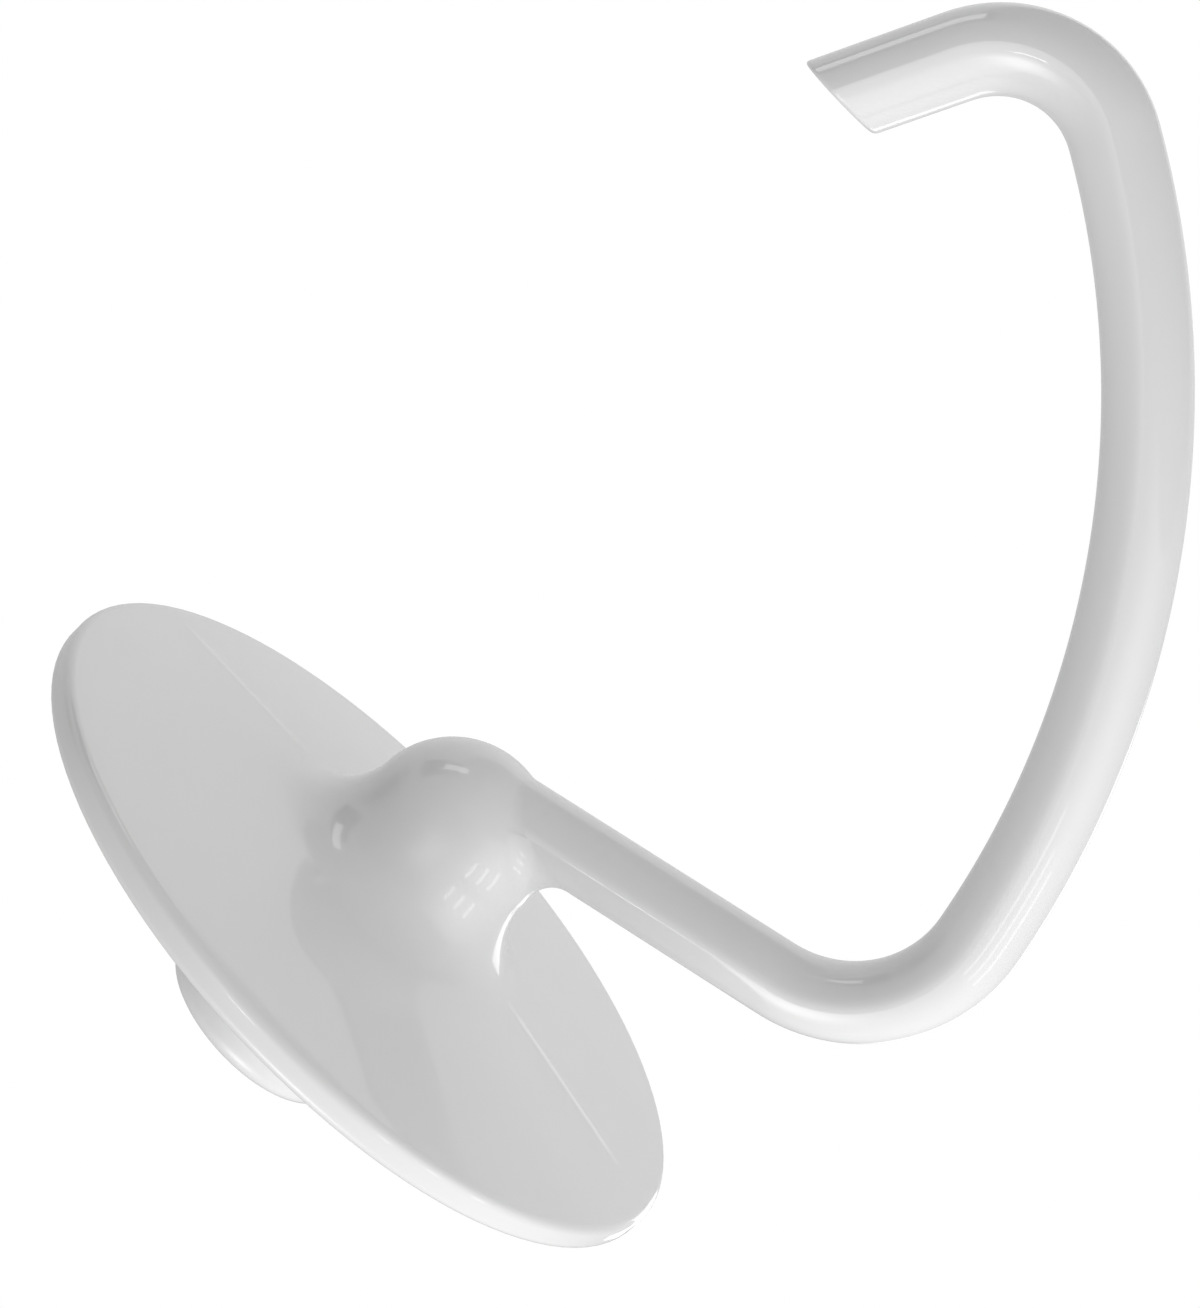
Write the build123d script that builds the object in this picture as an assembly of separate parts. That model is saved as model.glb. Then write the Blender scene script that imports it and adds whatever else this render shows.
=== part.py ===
from build123d import *
import os
from math import cos, radians, sin, sqrt, tan

# Dough hook: one aluminium casting, coated white all over.
# +Z points up out of the socket, the arm leaves the hub towards -X and the toe comes back up on the +X side.
# The origin is the centre of the socket's mouth, where its round wall starts.

# Socket: a blind bore with an L-shaped bayonet slot through the far side of its wall
bore_diameter = 12.9
bore_depth = 33.0
mouth_chamfer = 1.0
slot_width = 6.0
slot_depth = 13.0
slot_angle = 30.0

# Collar around the socket
collar_diameter = 28.0
collar_height = 20.7
collar_lip = 1.8
collar_foot = 3.5

# Dough-guard disc, with both faces falling towards the hub
disc_diameter = 102.0
rim_thickness = 4.0
rim_radius = 1.3
rim_chamfer = 0.8
face_angle = 7.0
back_angle = 4.0

# Ball-shaped hub under the disc; its top stands a little over the arm where the arm meets the axis
hub_diameter = 24.8
hub_cover = 0.3
neck_fillet = 10.0
knuckle_fillet = 4.0

# Arm section: two shallow arcs that meet in a soft ridge along the front and the back
arm_depth = 13.2
arm_width = 10.6
root_width = 9.4
ridge_radius = 1.2

# Centre line of the arm in the XZ plane: a straight run, two bends with a long sweep between, a straight toe
arm_drop = 19.8
arm_angle = 16.9
run_length = 41.4
bend_radius = 18.4
bend_angle = 87.1
sweep_radius = 115.4
sweep_angle = 48.6
toe_radius = 14.3
toe_angle = 91.9
toe_drop = 108.7
toe_chamfer = 0.4

bore_r = bore_diameter / 2
collar_r = collar_diameter / 2
disc_r = disc_diameter / 2
hub_r = hub_diameter / 2

# Levels along Z, from the collar's end down
collar_end = mouth_chamfer
pin_level = collar_end - slot_depth + slot_width / 2
back_level = collar_end - collar_height
foot_level = back_level - (disc_r - collar_r - collar_foot) * tan(radians(back_angle))
face_level = back_level - rim_thickness
arm_level = face_level - arm_drop
hub_level = arm_level - root_width / 2 / cos(radians(arm_angle)) - hub_cover + hub_r
toe_level = face_level - toe_drop


def arm_section(path, share, width):
    """Lens-shaped section of the arm, square to its path: local x is its depth, local y its width."""
    half_width = width / 2
    half_depth = arm_depth / 2
    ridge_x = half_depth - ridge_radius
    side_y = half_width - ridge_radius
    offset = (ridge_x**2 - side_y**2) / (2 * side_y)
    reach = ridge_radius / sqrt(ridge_x**2 + offset**2)
    join_x = ridge_x * (1 + reach)
    join_y = offset * reach
    with BuildSketch(Plane(path @ share, x_dir=(0, 1, 0), z_dir=path % share)) as section:
        with BuildLine():
            ThreePointArc((-join_x, join_y), (0, half_width), (join_x, join_y))
            ThreePointArc((join_x, join_y), (half_depth, 0), (join_x, -join_y))
            ThreePointArc((join_x, -join_y), (0, -half_width), (-join_x, -join_y))
            ThreePointArc((-join_x, -join_y), (-half_depth, 0), (-join_x, join_y))
        make_face()
    return section.sketch


# Collar, disc and hub, turned about the socket's axis
with BuildPart() as turned:
    with BuildSketch(Plane.XZ) as profile:
        with BuildLine():
            FilletPolyline(
                (0, collar_end),
                (collar_r - collar_lip, collar_end),
                (collar_r, collar_end - collar_lip),
                (collar_r, foot_level + collar_foot),
                (collar_r + collar_foot, foot_level),
                (disc_r - rim_chamfer, back_level),
                (disc_r, back_level - rim_chamfer),
                (disc_r, face_level),
                (0, face_level - disc_r * tan(radians(face_angle))),
                radius=(0, 0, 0, 0, 0, 0, 0, rim_radius, 0),
                close=True,
            )
        make_face()
        with Locations((0, hub_level)):
            Circle(hub_r)
        Rectangle(disc_r, 2 * toe_drop, align=(Align.MAX, Align.CENTER), mode=Mode.SUBTRACT)
        off_axis = profile.vertices().filter_by(lambda v: v.X > hub_r / 2)
        fillet(off_axis.sort_by_distance((0, hub_level))[0], neck_fillet)
    revolve(axis=Axis.Z)

# Arm, drawn along its centre line from inside the hub to the toe, which is cut level across
with BuildLine(Plane.XZ):
    heading = (-cos(radians(arm_angle)), -sin(radians(arm_angle)))
    run = PolarLine((0, arm_level), run_length, direction=heading)
    bend = JernArc(run @ 1, run % 1, bend_radius, bend_angle)
    long_sweep = JernArc(bend @ 1, bend % 1, sweep_radius, sweep_angle)
    toe_bend = JernArc(long_sweep @ 1, long_sweep % 1, toe_radius, toe_angle)

toe_start = toe_bend @ 1
toe_heading = toe_bend % 1
toe_length = (toe_level - toe_start.Z) / toe_heading.Z + arm_width

with BuildPart() as arm:
    extrude(arm_section(run, 0, root_width), amount=run_length)
    sweep([arm_section(bend, 0, root_width), arm_section(bend, 1, arm_width)], path=bend, multisection=True)
    for arc, angle in ((long_sweep, sweep_angle), (toe_bend, toe_angle)):
        turning_axis = Axis(arc.arc_center, Plane.XZ.z_dir)
        revolve(arm_section(arc, 0, arm_width), axis=turning_axis, revolution_arc=angle)
    extrude(arm_section(toe_bend, 1, arm_width), amount=toe_length)
    with Locations((toe_start + toe_heading * toe_length).project_to_plane(Plane.XY.offset(toe_level))):
        Box(
            4 * arm_width,
            2 * arm_depth,
            2 * arm_width,
            align=(Align.CENTER, Align.CENTER, Align.MIN),
            mode=Mode.SUBTRACT,
        )
    chamfer(arm.faces().filter_by(Axis.Z).edges(), toe_chamfer)

# The casting: arm and hub joined with a rounded knuckle, then the socket and its slot cut
with BuildPart() as dough_hook:
    add(turned.part)
    add(arm.part)
    fillet(new_edges(turned.part, arm.part, combined=dough_hook.part), knuckle_fillet)

    with Locations((0, 0, collar_end)):
        Cylinder(
            bore_r,
            collar_end + bore_depth,
            align=(Align.CENTER, Align.CENTER, Align.MAX),
            mode=Mode.SUBTRACT,
        )
    chamfer(dough_hook.edges().group_by(Axis.Z)[-1].sort_by(SortBy.RADIUS)[0], mouth_chamfer)

    with BuildSketch(Plane.XZ):
        with Locations((0, pin_level)):
            Rectangle(slot_width, slot_depth, align=(Align.CENTER, Align.MIN))
            Circle(slot_width / 2)
    extrude(amount=-collar_diameter, mode=Mode.SUBTRACT)
    with BuildSketch(Plane.YZ):
        with Locations((0, pin_level)):
            Rectangle(collar_diameter, slot_width, align=(Align.MIN, Align.CENTER))
    revolve(axis=Axis.Z, revolution_arc=-slot_angle, mode=Mode.SUBTRACT)
    with BuildSketch(Plane.XZ.rotated((0, 0, -slot_angle))):
        with Locations((0, pin_level)):
            Circle(slot_width / 2)
    extrude(amount=-collar_diameter, mode=Mode.SUBTRACT)

os.makedirs("parts", exist_ok=True)
export_step(dough_hook.part, "parts/dough_hook.step")
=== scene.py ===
from math import atan2, ceil, cos, pi, radians, sin, sqrt, tan

import bmesh
import bpy
import numpy as np
from mathutils import Matrix, Vector


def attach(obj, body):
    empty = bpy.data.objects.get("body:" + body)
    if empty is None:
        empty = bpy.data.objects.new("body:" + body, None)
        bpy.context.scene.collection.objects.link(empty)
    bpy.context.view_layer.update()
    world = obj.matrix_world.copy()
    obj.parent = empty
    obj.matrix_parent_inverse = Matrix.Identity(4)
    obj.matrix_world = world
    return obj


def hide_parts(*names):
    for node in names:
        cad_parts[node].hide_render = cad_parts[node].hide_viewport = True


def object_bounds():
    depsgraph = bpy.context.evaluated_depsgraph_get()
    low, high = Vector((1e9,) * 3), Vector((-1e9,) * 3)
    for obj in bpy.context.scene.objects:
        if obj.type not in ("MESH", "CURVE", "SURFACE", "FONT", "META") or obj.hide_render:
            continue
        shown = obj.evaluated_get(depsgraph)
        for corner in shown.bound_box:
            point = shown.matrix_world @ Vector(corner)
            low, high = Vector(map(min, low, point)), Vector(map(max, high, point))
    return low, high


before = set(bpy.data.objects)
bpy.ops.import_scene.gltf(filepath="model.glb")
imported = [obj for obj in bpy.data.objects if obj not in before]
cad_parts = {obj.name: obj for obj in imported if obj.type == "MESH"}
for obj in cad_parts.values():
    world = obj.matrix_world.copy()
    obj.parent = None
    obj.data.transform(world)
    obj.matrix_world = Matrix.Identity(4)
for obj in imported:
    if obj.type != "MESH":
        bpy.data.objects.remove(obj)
cad_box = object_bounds()

# Coat: one gloss white over the whole casting, sprayed on and baked, so it has a fine orange peel and
# clouds a little. On the two fine lines that the mould left on the disc, a highlight is painted in.
coat_white = (0.82, 0.82, 0.815, 1.0)
coat_shade = (0.78, 0.785, 0.785, 1.0)
# painted highlight: a near-white colour laid on the mould lines, standing in for light caught on their
# crests
coat_painted_highlight = (1.0, 1.0, 0.995, 1.0)
coat_roughness = (0.25, 0.40)
cloud_scale = 26.0
cloud_detail = 3.0
peel_scale = 1100.0
peel_detail = 1.0
peel_height = 0.00001
peel_strength = 0.15

coat = bpy.data.materials.new("white_coat")
coat.use_nodes = True
coat_nodes = coat.node_tree.nodes
coat_links = coat.node_tree.links
gloss = coat_nodes["Principled BSDF"]
gloss.inputs["IOR"].default_value = 1.5
gloss.inputs["Coat Weight"].default_value = 1.0
gloss.inputs["Coat IOR"].default_value = 1.55
gloss.inputs["Coat Roughness"].default_value = 0.05
place = coat_nodes.new("ShaderNodeTexCoord").outputs["Object"]


def speckle(scale, detail):
    """Soft noise through the casting; gives its height."""
    noise = coat_nodes.new("ShaderNodeTexNoise")
    noise.inputs["Scale"].default_value = scale
    noise.inputs["Detail"].default_value = detail
    coat_links.new(place, noise.inputs["Vector"])
    return noise.outputs["Fac"]


def blend(share, first, second):
    """Mixes two colours of the coat by a share; each is a plain colour or comes from another node."""
    mix = coat_nodes.new("ShaderNodeMix")
    mix.data_type = "RGBA"
    coat_links.new(share, mix.inputs["Factor"])
    for socket, colour in zip([s for s in mix.inputs if s.type == "RGBA"], (first, second)):
        if isinstance(colour, bpy.types.NodeSocket):
            coat_links.new(colour, socket)
        else:
            socket.default_value = colour
    return [s for s in mix.outputs if s.type == "RGBA"][0]


clouds = speckle(cloud_scale, cloud_detail)
sprayed = blend(clouds, coat_white, coat_shade)
# painted highlight: the mould lines' height mixes the near-white colour into the coat
painted_highlight_share = coat_nodes.new("ShaderNodeAttribute")
painted_highlight_share.attribute_name = "mould_line_painted_highlight"
coat_links.new(blend(painted_highlight_share.outputs["Fac"], sprayed, coat_painted_highlight), gloss.inputs["Base Color"])

sheen = coat_nodes.new("ShaderNodeMapRange")
sheen.inputs["To Min"].default_value = coat_roughness[0]
sheen.inputs["To Max"].default_value = coat_roughness[1]
coat_links.new(clouds, sheen.inputs["Value"])
coat_links.new(sheen.outputs["Result"], gloss.inputs["Roughness"])

ripple = coat_nodes.new("ShaderNodeBump")
ripple.inputs["Strength"].default_value = peel_strength
ripple.inputs["Distance"].default_value = peel_height
coat_links.new(speckle(peel_scale, peel_detail), ripple.inputs["Height"])
coat_links.new(ripple.outputs["Normal"], gloss.inputs["Normal"])

# Arm: the part that kneads, cast in aluminium in one piece with the hub. Its lens-shaped section, with a
# ridge along the front and the back, follows a straight run, a bend, a long sweep, a second bend and a
# straight toe.
mm = 0.001
points_around = 128
path_step = 1.0 * mm
arm_depth = 13.2 * mm
arm_width = 10.6 * mm
root_width = 9.4 * mm
inner_round = 3.5 * mm
outer_round = 0.5 * mm
arm_level = -43.5 * mm
arm_angle = radians(16.9)
root_distance = 19.0 * mm
run_length = 41.4 * mm
bend_radius = 18.4 * mm
bend_angle = radians(87.1)
sweep_radius = 115.4 * mm
sweep_angle = radians(48.6)
toe_radius = 14.3 * mm
toe_angle = radians(91.9)
toe_level = -132.4 * mm
toe_margin = 3.5 * mm
toe_round = 0.6 * mm
toe_side_steps = 8
toe_round_steps = 6
toe_cut_steps = 4


def draw_on(line, heading, length, turn=0.0):
    """Carries the centre line on, straight or by an arc that turns by an angle; gives the new heading."""
    steps = ceil(length / path_step)
    half_turn = turn / steps / 2
    stride = length / steps * (sin(half_turn) / half_turn if turn else 1.0)
    for _ in range(steps):
        x, z = line[-1]
        heading += half_turn
        line.append((x + stride * cos(heading), z + stride * sin(heading)))
        heading += half_turn
    return heading


run_heading = pi + arm_angle
centre_line = [(root_distance * cos(run_heading), arm_level + root_distance * sin(run_heading))]
heading = draw_on(centre_line, run_heading, run_length - root_distance)
for radius, angle in ((bend_radius, bend_angle), (sweep_radius, sweep_angle), (toe_radius, toe_angle)):
    heading = draw_on(centre_line, heading, radius * angle, angle)
toe_heading = np.array((cos(heading), 0.0, sin(heading)))
draw_on(centre_line, heading, (toe_level - toe_margin - centre_line[-1][1]) / sin(heading))

path = bpy.data.curves.new("arm_path", "CURVE")
path.dimensions = "3D"
spline = path.splines.new("POLY")
spline.points.add(len(centre_line) - 1)
for point, (x, z) in zip(spline.points, centre_line):
    point.co = (x, 0.0, z, 1.0)

arm_tree = bpy.data.node_groups.new("arm_section_along_path", "GeometryNodeTree")
arm_tree.is_modifier = True
arm_sockets = {}
for name, kind in (
    ("Path", "NodeSocketGeometry"),
    ("Points Around", "NodeSocketInt"),
    ("Depth", "NodeSocketFloat"),
    ("Width", "NodeSocketFloat"),
    ("Root Width", "NodeSocketFloat"),
    ("Inner Round", "NodeSocketFloat"),
    ("Outer Round", "NodeSocketFloat"),
    ("Taper Start", "NodeSocketFloat"),
    ("Taper End", "NodeSocketFloat"),
    ("Coat", "NodeSocketMaterial"),
):
    arm_sockets[name] = arm_tree.interface.new_socket(name, in_out="INPUT", socket_type=kind).identifier
arm_tree.interface.new_socket("Arm", in_out="OUTPUT", socket_type="NodeSocketGeometry")


def arm_node(kind, *sources, **settings):
    """Adds a node to the arm's tree, sets its properties and fills its inputs in order."""
    made = arm_tree.nodes.new(kind)
    for name, value in settings.items():
        setattr(made, name, value)
    for socket, source in zip([s for s in made.inputs if s.enabled], sources):
        if isinstance(source, bpy.types.NodeSocket):
            arm_tree.links.new(source, socket)
        else:
            socket.default_value = source
    return made


def sum_up(operation, *sources):
    """One step of arithmetic in the arm's tree."""
    return arm_node("ShaderNodeMath", *sources, operation=operation).outputs[0]


def choose(test, no, yes, kind):
    """One of two values in the arm's tree, by a test."""
    return arm_node("GeometryNodeSwitch", test, no, yes, input_type=kind).outputs[0]


def move(operation, *sources):
    """One step of vector arithmetic in the arm's tree."""
    return arm_node("ShaderNodeVectorMath", *sources, operation=operation).outputs[0]


given = arm_tree.nodes.new("NodeGroupInput").outputs

# the section: a unit circle's points are the normals of the lens, and each takes its place on a side or on
# a ridge; the inner side rolls over to the ridge in a wide round, the outer side in a crisp one
circle = arm_node("GeometryNodeCurvePrimitiveCircle", given["Points Around"], 1.0, mode="RADIUS")
normal = arm_node("GeometryNodeInputPosition").outputs[0]
normal_x, normal_y, _ = arm_node("ShaderNodeSeparateXYZ", normal).outputs
inside = sum_up("GREATER_THAN", normal_y, 0.0)
ridge_round = choose(inside, given["Outer Round"], given["Inner Round"], "FLOAT")
ridge_x = sum_up("SUBTRACT", sum_up("MULTIPLY", given["Depth"], 0.5), ridge_round)
side_y = sum_up("SUBTRACT", sum_up("MULTIPLY", given["Width"], 0.5), ridge_round)
squares = sum_up("SUBTRACT", sum_up("MULTIPLY", ridge_x, ridge_x), sum_up("MULTIPLY", side_y, side_y))
offset = sum_up("DIVIDE", squares, sum_up("MULTIPLY", side_y, 2.0))
inner_radius = sum_up("ADD", side_y, offset)
on_ridge = sum_up("GREATER_THAN", sum_up("ABSOLUTE", normal_x), sum_up("DIVIDE", ridge_x, inner_radius))
ridge_centre_x = sum_up("MULTIPLY", sum_up("SIGN", normal_x), ridge_x)
ridge_centre = arm_node("ShaderNodeCombineXYZ", ridge_centre_x, 0.0, 0.0).outputs[0]
side_centre_y = sum_up("MULTIPLY", sum_up("SIGN", normal_y), sum_up("MULTIPLY", offset, -1.0))
side_centre = arm_node("ShaderNodeCombineXYZ", 0.0, side_centre_y, 0.0).outputs[0]
reach = choose(on_ridge, sum_up("ADD", inner_radius, ridge_round), ridge_round, "FLOAT")
centre = choose(on_ridge, side_centre, ridge_centre, "VECTOR")
scaled = arm_node("ShaderNodeVectorMath", normal, operation="SCALE")
arm_tree.links.new(reach, scaled.inputs["Scale"])
lens = move("ADD", scaled.outputs[0], centre)
section = arm_node("GeometryNodeSetPosition", circle.outputs["Curve"], True, lens).outputs[0]

# the path: its normal is square to the C's plane, and it carries its place and the share of the full width
square_to_c = (0.0, 1.0, 0.0)
upright = arm_node("GeometryNodeSetCurveNormal", given["Path"], True, square_to_c, mode="FREE").outputs[0]
root_share = sum_up("DIVIDE", given["Root Width"], given["Width"])
length_so_far = arm_node("GeometryNodeSplineParameter").outputs["Length"]
taper = (length_so_far, given["Taper Start"], given["Taper End"], root_share, 1.0)
share = arm_node("ShaderNodeMapRange", *taper).outputs[0]
carry = arm_tree.nodes.new("GeometryNodeCaptureAttribute")
carry.capture_items.new("VECTOR", "centre")
carry.capture_items.new("FLOAT", "share")
arm_tree.links.new(upright, carry.inputs[0])
arm_tree.links.new(arm_node("GeometryNodeInputPosition").outputs[0], carry.inputs[1])
arm_tree.links.new(share, carry.inputs[2])
swept = arm_node("GeometryNodeCurveToMesh", carry.outputs[0], section).outputs[0]
here = arm_node("GeometryNodeInputPosition").outputs[0]
away = move("SUBTRACT", here, carry.outputs[1])
narrowing = arm_node("ShaderNodeCombineXYZ", carry.outputs[2], 1.0, carry.outputs[2]).outputs[0]
settled = move("ADD", move("MULTIPLY", away, narrowing), carry.outputs[1])
tapered = arm_node("GeometryNodeSetPosition", swept, True, settled).outputs[0]
real = arm_node("GeometryNodeRealizeInstances", tapered).outputs[0]
painted = arm_node("GeometryNodeSetMaterial", real, True, given["Coat"]).outputs[0]
arm_tree.links.new(painted, arm_tree.nodes.new("NodeGroupOutput").inputs[0])

path_object = bpy.data.objects.new("arm_path", path)
bpy.context.scene.collection.objects.link(path_object)
follow = path_object.modifiers.new("arm", "NODES")
follow.node_group = arm_tree
taper_start = run_length - root_distance
for name, value in (
    ("Points Around", points_around),
    ("Depth", arm_depth),
    ("Width", arm_width),
    ("Root Width", root_width),
    ("Inner Round", inner_round),
    ("Outer Round", outer_round),
    ("Taper Start", taper_start),
    ("Taper End", taper_start + bend_radius * bend_angle),
    ("Coat", coat),
):
    follow[arm_sockets[name]] = value
arm_mesh = bpy.data.meshes.new_from_object(path_object.evaluated_get(bpy.context.evaluated_depsgraph_get()))
arm_points = np.empty(len(arm_mesh.vertices) * 3)
arm_mesh.vertices.foreach_get("co", arm_points)
arm_rings = arm_points.reshape(-1, points_around, 3)
bpy.data.objects.remove(path_object)


def between(first, last, steps):
    """Rings in even steps after the first ring and before the last one."""
    return [first + (last - first) * step / steps for step in range(1, steps)]


# the toe's cut lies level across, with a small round all along its edge
toe_side = arm_rings[-1]
toe_edge = toe_side + ((toe_level - toe_side[:, 2:]) / toe_heading[2]) * toe_heading
toe_middle = toe_edge.mean(axis=0)
inward = toe_middle - toe_edge
inward /= np.linalg.norm(inward, axis=1)[:, None]
toe_rings = []
for turn in np.linspace(0.0, pi / 2, toe_round_steps + 1):
    toe_rings.append(toe_edge + toe_round * ((sin(turn) - 1) * toe_heading + (1 - cos(turn)) * inward))
toe_rings = between(toe_side, toe_rings[0], toe_side_steps) + toe_rings
toe_rings += between(toe_rings[-1], np.broadcast_to(toe_middle, toe_edge.shape), toe_cut_steps)

# Knuckle and hub: a ball under the disc that the arm grows out of, cast with both. Every junction is faired
# in the pattern, so the arm runs into the ball in one round, and the ball into the disc in a wide one.
hub_r = 12.4 * mm
hub_cover = 0.3 * mm
knuckle_fillet = 4.5 * mm
neck_fillet = 10.0 * mm
root_steps = 6
knuckle_steps = 16
hub_steps = 24
neck_steps = 21
hub_level = arm_level - root_width / 2 / cos(arm_angle) - hub_cover + hub_r
hub_middle = np.array((0.0, 0.0, hub_level))

out = np.array((cos(run_heading), 0.0, sin(run_heading)))
root = arm_rings[0]
chord = np.roll(root, -1, axis=0) - np.roll(root, 1, axis=0)
facing = np.cross(chord, out)
facing /= np.linalg.norm(facing, axis=1)[:, None]
facing *= np.sign(np.sum(facing * (root - root.mean(axis=0)), axis=1))[:, None]
beside = root - hub_middle
beside -= (beside @ out)[:, None] * out
height = np.sum(beside * facing, axis=1)
sideways = beside - height[:, None] * facing
cut_r = np.sqrt(hub_r**2 - np.sum(sideways**2, axis=1))
round_height = height + knuckle_fillet
reach_out = np.sqrt((cut_r + knuckle_fillet) ** 2 - round_height**2)
round_middle = hub_middle + sideways + reach_out[:, None] * out + round_height[:, None] * facing
round_angle = np.arctan2(reach_out, round_height)
knuckle_rings = []
for share_done in np.linspace(0.0, 1.0, knuckle_steps + 1):
    turn = (round_angle * share_done)[:, None]
    knuckle_rings.append(round_middle - knuckle_fillet * (np.cos(turn) * facing + np.sin(turn) * out))

# the neck: a round that touches the ball and the disc's coned face, in distances from the axis and levels
face_level = -23.7 * mm
face_angle = radians(7.0)
disc_r = cad_box[1][0]
face_out = np.array((sin(face_angle), -cos(face_angle)))
face_along = np.array((cos(face_angle), sin(face_angle)))
apex = np.array((0.0, face_level - disc_r * tan(face_angle)))
ball = np.array((0.0, hub_level))
gap = apex + neck_fillet * face_out - ball
half_b = gap @ face_along
neck_run = -half_b + sqrt(half_b**2 - gap @ gap + (hub_r + neck_fillet) ** 2)
neck_middle = apex + neck_fillet * face_out + neck_run * face_along
to_ball = ball - neck_middle
neck_start = atan2(to_ball[1], to_ball[0])
neck_end = atan2(-face_out[1], -face_out[0])
neck_polar = atan2(neck_middle[0], ball[1] - neck_middle[1])

# the ball's skin, from the knuckle's foot to the ring where the neck takes over; its points fan out round a
# crown that leans towards the arm, and are drawn part of the way to an even spread
crown_tilt = radians(15.0)
fan_share = 0.7
foot = (knuckle_rings[-1] - hub_middle) / hub_r
crown_x = np.array((cos(crown_tilt), 0.0, -sin(crown_tilt)))
fanned = np.unwrap(np.arctan2(foot[:, 1], foot @ crown_x))
winding = np.sign(fanned[-1] - fanned[0])
even = winding * np.arange(points_around) * 2 * pi / points_around
even += np.mean(fanned - even)
azimuth = fan_share * fanned + (1 - fan_share) * even


def turned_ring(radius, level, angles):
    """One ring of the turned part of the casting."""
    return np.column_stack((radius * np.cos(angles), radius * np.sin(angles), np.full(len(angles), level)))


neck_ring = turned_ring(sin(neck_polar), -cos(neck_polar), azimuth)
spread = np.arccos(np.clip(np.sum(foot * neck_ring, axis=1), -1, 1))[:, None]
hub_rings = []
for share_done in np.linspace(0.0, 1.0, hub_steps + 1)[1:]:
    skin = np.sin((1 - share_done) * spread) * foot + np.sin(share_done * spread) * neck_ring
    hub_rings.append(hub_middle + hub_r * skin / np.sin(spread))

# Disc, collar and socket: round shapes about the socket's axis, cast with the hub. The disc keeps the dough
# down, the collar stands on its back, and the socket is bored into the collar, with a lead-in at its mouth.
rim_round = 1.3 * mm
back_level = -19.7 * mm
back_angle = radians(4.0)
collar_r = 14.0 * mm
collar_end = cad_box[1][2]
collar_foot_round = 6.0 * mm
collar_lip_round = 2.5 * mm
bore_r = 6.45 * mm
bore_depth = 33.0 * mm
bore_foot_round = 0.8 * mm
lead_in = 1.0 * mm
lead_in_round = 0.4 * mm
last_ring_r = 0.5 * mm
corners = (
    (0.0, neck_middle - neck_fillet * face_out),
    (rim_round, (disc_r, face_level)),
    (rim_round, (disc_r, back_level)),
    (collar_foot_round, (collar_r, back_level - (disc_r - collar_r) * tan(back_angle))),
    (collar_lip_round, (collar_r, collar_end)),
    (lead_in_round, (bore_r + lead_in, collar_end)),
    (lead_in_round, (bore_r, 0.0)),
    (bore_foot_round, (bore_r, -bore_depth)),
    (0.0, (last_ring_r, -bore_depth)),
)


def run_to(start, end, run_step):
    """Points in even steps along a straight run, without its start."""
    steps = max(1, ceil(np.linalg.norm(end - start) / run_step))
    return [start + (end - start) * step / steps for step in range(1, steps + 1)]


def rounded(corners, run_step=2.5 * mm, turn_step=radians(9.0)):
    """Points along an outline of straight runs whose corners are rounded, each by its own radius."""
    points = [np.array(corners[0][1])]
    for (_, before), (radius, corner), (_, after) in zip(corners, corners[1:], corners[2:]):
        corner = np.array(corner)
        back = (np.array(before) - corner) / np.linalg.norm(np.array(before) - corner)
        ahead = (np.array(after) - corner) / np.linalg.norm(np.array(after) - corner)
        half = np.arccos(back @ ahead) / 2
        start = corner + back * radius / tan(half)
        middle = corner + (back + ahead) / np.linalg.norm(back + ahead) * radius / sin(half)
        points += run_to(points[-1], start, run_step)
        swing = pi - 2 * half
        steps = ceil(swing / turn_step)
        arm_from = (start - middle) / radius
        arm_to = (corner + ahead * radius / tan(half) - middle) / radius
        for step in range(1, steps + 1):
            part = swing * step / steps
            points.append(middle + radius * (sin(swing - part) * arm_from + sin(part) * arm_to) / sin(swing))
    return points + run_to(points[-1], np.array(corners[-1][1]), run_step)


neck_turns = np.linspace(neck_start, neck_end, neck_steps + 1)[1:]
outline = [neck_middle + neck_fillet * np.array((cos(turn), sin(turn))) for turn in neck_turns]
outline += rounded(corners)[1:]

# two fine raised lines that the mould left on the disc's face: direction, start, end and height of each;
# the rings' points are evenly spread, but for these lines, from even_r outwards
line_half_width = 0.7 * mm
line_fade = 4.0 * mm
line_columns = np.array((0.0, 0.18, 0.36, 0.54, 0.75)) * mm
even_r = 0.36 * disc_r
face_reach = 0.5 * mm
mould_lines = (
    (radians(180.5), 19.5 * mm, 44.0 * mm, 0.10 * mm),
    (radians(12.5), 21.0 * mm, 47.0 * mm, 0.05 * mm),
)
columns = np.arange(points_around)
line_places = []
for way, _, _, _ in mould_lines:
    nearest = np.argmin(np.abs((even - way + pi) % (2 * pi) - pi))
    line_places.append((nearest, even[nearest] + (way - even[nearest] + pi) % (2 * pi) - pi))


def gathered(radius):
    """Azimuths of a ring's points: evenly spread, but drawn together across each mould line."""
    anchors = []
    for column, way in line_places:
        for step in range(1 - len(line_columns), len(line_columns)):
            across = np.sign(step) * line_columns[abs(step)] / radius
            for lap in (-1, 0, 1):
                angle_there = way + winding * (across + lap * 2 * pi)
                anchors.append((column + step + lap * points_around, angle_there))
    anchors.sort()
    return np.interp(columns, [a[0] for a in anchors], [a[1] for a in anchors])


def line_height(radius, angles):
    """How far the mould lines stand out of the disc's face at points round the axis."""
    rises = np.zeros(len(angles))
    for way, start, end, rise in mould_lines:
        across = radius * np.sin(angles - way)
        same_side = np.cos(angles - way) > 0
        shape = np.clip(1 - (across / line_half_width) ** 2, 0, None)
        ends = np.clip(np.minimum(radius - start, end - radius) / line_fade, 0.0, 1.0)
        rises += same_side * shape * ends * rise
    return rises


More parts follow.
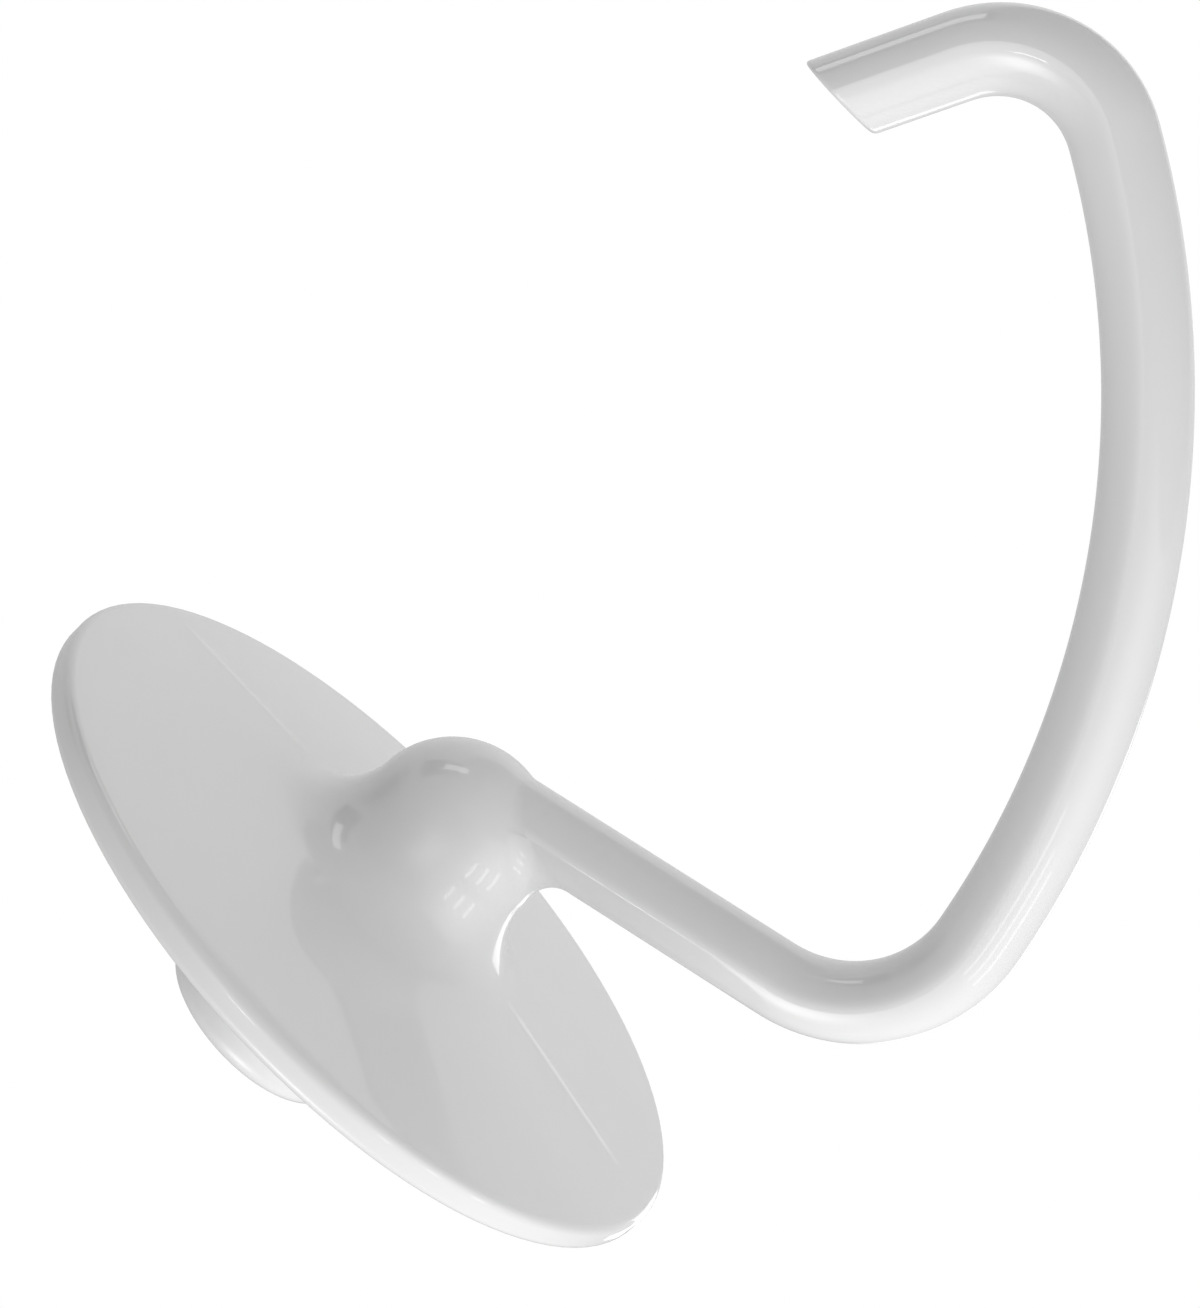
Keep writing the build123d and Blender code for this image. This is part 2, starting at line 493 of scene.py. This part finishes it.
turned_rings = []
rim_passed = False
for radius, level in outline:
    rim_passed = rim_passed or radius >= disc_r
    if rim_passed:
        settle = np.clip((radius - collar_r) / (disc_r - collar_r), 0.0, 1.0)
        angles = even + settle * (gathered(radius) - even)
        turned_rings.append(turned_ring(radius, level, angles))
    else:
        settle = np.clip((radius - hub_r) / (even_r - hub_r), 0.0, 1.0)
        settle = settle * settle * (3 - 2 * settle)
        angles = azimuth + settle * (gathered(radius) - azimuth)
        ring = turned_ring(radius, level, angles)
        ring[:, 2] -= line_height(radius, angles)
        turned_rings.append(ring)


def close_skin(name, rings, first_pole, last_pole):
    """Makes a closed mesh from rings of points, with a pole at each end."""
    count = len(rings[0])
    points = np.concatenate([np.array(ring) for ring in rings] + [np.array([first_pole, last_pole])])
    faces = []
    for row in range(len(rings) - 1):
        near = row * count
        far = near + count
        for column in range(count):
            beside_it = (column + 1) % count
            faces.append((near + column, near + beside_it, far + beside_it, far + column))
    last = (len(rings) - 1) * count
    poles = len(rings) * count
    for column in range(count):
        beside_it = (column + 1) % count
        faces.append((poles, beside_it, column))
        faces.append((poles + 1, last + column, last + beside_it))
    mesh = bpy.data.meshes.new(name)
    mesh.from_pydata(points.tolist(), [], faces)
    work = bmesh.new()
    work.from_mesh(mesh)
    bmesh.ops.recalc_face_normals(work, faces=work.faces)
    work.to_mesh(mesh)
    work.free()
    return mesh


skin_rings = toe_rings[::-1] + list(arm_rings[::-1])
skin_rings += between(arm_rings[0], knuckle_rings[0], root_steps) + knuckle_rings + hub_rings + turned_rings
casting_mesh = close_skin("hook_casting", skin_rings, toe_middle, (0.0, 0.0, -bore_depth))
casting = bpy.data.objects.new("hook_casting", casting_mesh)
bpy.context.scene.collection.objects.link(casting)

# Bayonet slot: an L-shaped way through the far side of the collar's wall, milled after casting. The leg
# from the mouth lets a cross pin in, and the short leg round the wall locks it.
slot_r = 3.0 * mm
slot_depth = 13.0 * mm
slot_angle = radians(30.0)
slot_inner = 3.0 * mm
slot_outer = 20.0 * mm
slot_steps = 24
smooth_angle = radians(40.0)
pin_level = collar_end - slot_depth + slot_r


def bar(name, outline, across):
    """A closed bar through the collar's wall, with an outline of (across, Z) points."""
    along = np.array((-across[1], across[0], 0.0))
    flat = np.array([a * np.array(across) + np.array((0.0, 0.0, z)) for a, z in outline])
    ends = [flat + distance * along for distance in (slot_inner, slot_outer)]
    return close_skin(name, ends, ends[0].mean(axis=0), ends[1].mean(axis=0))


def slot_round(start, end, steps):
    """Points of (across, Z) round the pin's place, from one angle to another."""
    turns = np.linspace(start, end, steps + 1)
    return [(slot_r * cos(turn), pin_level + slot_r * sin(turn)) for turn in turns]


leg = [(slot_r, collar_end + slot_r), (-slot_r, collar_end + slot_r)] + slot_round(pi, 2 * pi, slot_steps)
side_corners = ((slot_inner, -slot_r), (slot_outer, -slot_r), (slot_outer, slot_r), (slot_inner, slot_r))
side_rings = []
for turn in np.linspace(0.0, slot_angle, slot_steps // 2 + 1):
    side_rings.append(np.array([(r * sin(turn), r * cos(turn), pin_level + z) for r, z in side_corners]))
cutters = [
    bar("slot_leg", leg, (1.0, 0.0, 0.0)),
    close_skin("slot_side", side_rings, side_rings[0].mean(axis=0), side_rings[-1].mean(axis=0)),
    bar("slot_end", slot_round(0.0, 2 * pi, 2 * slot_steps)[:-1], (cos(slot_angle), -sin(slot_angle), 0.0)),
]
for cutter_mesh in cutters:
    cutter = bpy.data.objects.new(cutter_mesh.name, cutter_mesh)
    bpy.context.scene.collection.objects.link(cutter)
    cut = casting.modifiers.new("cut", "BOOLEAN")
    cut.operation = "DIFFERENCE"
    cut.solver = "EXACT"
    cut.object = cutter
    finished = bpy.data.meshes.new_from_object(casting.evaluated_get(bpy.context.evaluated_depsgraph_get()))
    casting.modifiers.clear()
    casting.data = finished
    bpy.data.objects.remove(cutter)
casting.data.materials.clear()
casting.data.materials.append(coat)
casting.data.polygons.foreach_set("use_smooth", [True] * len(casting.data.polygons))
casting.data.set_sharp_from_angle(angle=smooth_angle)

# the skin carries the mould lines' height at its points on the disc's face, as the share of the painted
# highlight
skin_points = np.empty(len(casting.data.vertices) * 3)
casting.data.vertices.foreach_get("co", skin_points)
skin_x, skin_y, skin_z = skin_points.reshape(-1, 3).T
skin_r = np.hypot(skin_x, skin_y)
above_face = skin_z - (face_level - (disc_r - skin_r) * tan(face_angle))
painted_highlight_rise = line_height(skin_r, np.arctan2(skin_y, skin_x)) * (np.abs(above_face) < face_reach)
line_painted_highlight = casting.data.attributes.new("mould_line_painted_highlight", "FLOAT", "POINT")
line_painted_highlight.data.foreach_set("value", painted_highlight_rise / max(rise for _, _, _, rise in mould_lines))
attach(casting, "root")
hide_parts("dough_hook")

# Studio: a plain pale floor well under the hook, in a white room whose light glows softly from a few sides.
# Small lamps give the gloss its highlights, and a low black flag on the right gives it a dark patch.
floor_level = cad_box[0][2] - 0.16
floor_r = 0.30
floor_sides = 96
floor_grey = 0.66
flag_x = 0.24
flag_y = (-0.05, 0.065)
flag_z = (floor_level, -0.11)
flag_grey = 0.01


def matt(name, grey, roughness, specular):
    """A plain matt grey."""
    paint = bpy.data.materials.new(name)
    paint.use_nodes = True
    surface = paint.node_tree.nodes["Principled BSDF"].inputs
    surface["Base Color"].default_value = (grey, grey, grey, 1.0)
    surface["Roughness"].default_value = roughness
    surface["Specular IOR Level"].default_value = specular
    return paint


floor_mesh = bpy.data.meshes.new("floor")
floor_work = bmesh.new()
bmesh.ops.create_circle(floor_work, cap_ends=True, segments=floor_sides, radius=floor_r)
bmesh.ops.translate(floor_work, verts=floor_work.verts, vec=(0.0, 0.0, floor_level))
floor_work.to_mesh(floor_mesh)
floor_work.free()
floor_mesh.materials.append(matt("pale_floor", floor_grey, 0.9, 0.5))
floor = bpy.data.objects.new("floor", floor_mesh)
bpy.context.scene.collection.objects.link(floor)

flag_corners = zip(flag_y + flag_y[::-1], (flag_z[0], flag_z[0], flag_z[1], flag_z[1]))
flag_mesh = bpy.data.meshes.new("flag")
flag_mesh.from_pydata([(flag_x, y, z) for y, z in flag_corners], [], [(0, 1, 2, 3)])
flag_mesh.materials.append(matt("black_flag", flag_grey, 1.0, 0.0))
flag = bpy.data.objects.new("flag", flag_mesh)
flag.visible_camera = False
bpy.context.scene.collection.objects.link(flag)

# each lamp: azimuth and elevation as seen from the hook, distance, width and height, and brightness;
# azimuth 0 is the camera's side and -90 is the arm's
lamp_aim = Vector((0.0, 0.0, -0.08))
lamps = (
    ("strip", 92.0, -36.7, 0.1705, (0.028, 0.075), 1.9),
    ("near_window", -50.0, 0.0, 0.65, (0.05, 0.22), 1.7),
    ("middle_window", -66.0, 0.0, 0.65, (0.05, 0.22), 1.7),
    ("far_window", -82.0, 0.0, 0.65, (0.05, 0.22), 1.7),
    ("side", -154.0, 10.0, 0.60, (0.13, 0.36), 1.2),
    ("front", -2.0, 18.9, 0.60, (0.10, 0.035), 6.0),
)
for name, lamp_azimuth, lamp_elevation, distance, size, brightness in lamps:
    lamp = bpy.data.lights.new(name, "AREA")
    lamp.shape = "RECTANGLE"
    lamp.size = size[0]
    lamp.size_y = size[1]
    lamp.energy = brightness * pi * size[0] * size[1]
    stand = bpy.data.objects.new(name, lamp)
    level_turn = radians(lamp_azimuth)
    rise_turn = radians(lamp_elevation)
    way = Vector((sin(level_turn) * cos(rise_turn), -cos(level_turn) * cos(rise_turn), sin(rise_turn)))
    turn = way.to_track_quat("Z", "Y").to_matrix().to_4x4()
    stand.matrix_world = Matrix.Translation(lamp_aim + distance * way) @ turn
    stand.visible_camera = False
    bpy.context.scene.collection.objects.link(stand)

# the room's even light, and its glows: direction, tightness and strength; the last one takes light away
room_light = 0.45
backdrop_light = 1.0
glows = (
    ((-0.920, -0.163, 0.357), 2.0, 0.80),
    ((0.229, 0.731, -0.643), 2.0, 0.48),
    ((-0.866, -0.276, -0.417), 8.0, 0.70),
    ((-0.285, -0.549, 0.786), 30.0, 3.0),
    ((0.03, -0.995, 0.087), 25.0, 0.7),
    ((0.986, 0.086, 0.139), 40.0, -0.42),
)
world = bpy.data.worlds.new("studio")
world.use_nodes = True
sky = world.node_tree
backdrop = sky.nodes["Background"]
backdrop.inputs["Color"].default_value = (1.0, 1.0, 1.0, 1.0)
towards = sky.nodes.new("ShaderNodeTexCoord")


def sky_sum(operation, first, second):
    """One step of arithmetic in the world's light, on sockets or plain numbers."""
    made = sky.nodes.new("ShaderNodeMath")
    made.operation = operation
    for socket, source in zip(made.inputs, (first, second)):
        if isinstance(source, bpy.types.NodeSocket):
            sky.links.new(source, socket)
        else:
            socket.default_value = source
    return made.outputs[0]


light = room_light
for way, tightness, strength in glows:
    lean = sky.nodes.new("ShaderNodeVectorMath")
    lean.operation = "DOT_PRODUCT"
    lean.inputs[1].default_value = way
    sky.links.new(towards.outputs["Generated"], lean.inputs[0])
    glow = sky_sum("POWER", sky_sum("MAXIMUM", lean.outputs["Value"], 0.0), tightness)
    light = sky_sum("ADD", sky_sum("MULTIPLY", glow, strength), light)
seen = sky.nodes.new("ShaderNodeLightPath")
strength_seen = sky.nodes.new("ShaderNodeMix")
strength_seen.inputs["B"].default_value = backdrop_light
sky.links.new(seen.outputs["Is Camera Ray"], strength_seen.inputs["Factor"])
sky.links.new(light, strength_seen.inputs["A"])
sky.links.new(strength_seen.outputs["Result"], backdrop.inputs["Strength"])
bpy.context.scene.world = world
bpy.context.scene.view_settings.view_transform = "Standard"

# Camera: in front of the hook and a little under it, rolled over so that the disc stands at the lower left
# and the toe at the top.
photo_height_px = 1308
focal_length_px = 2715.8
sensor_height_mm = 24.0
nearest_seen = 0.01
eye = Vector((-0.0337, -0.32018, -0.1461))
aim = Vector((0.00395, 0.0, -0.06603))
roll = radians(-133.21)
optics = bpy.data.cameras.new("camera")
optics.sensor_fit = "VERTICAL"
optics.sensor_height = sensor_height_mm
optics.lens = focal_length_px * sensor_height_mm / photo_height_px
optics.clip_start = nearest_seen
camera = bpy.data.objects.new("camera", optics)
bpy.context.scene.collection.objects.link(camera)
look = (aim - eye).to_track_quat("-Z", "Y").to_matrix() @ Matrix.Rotation(roll, 3, "Z")
camera.matrix_world = Matrix.Translation(eye) @ look.to_4x4()
bpy.context.scene.camera = camera
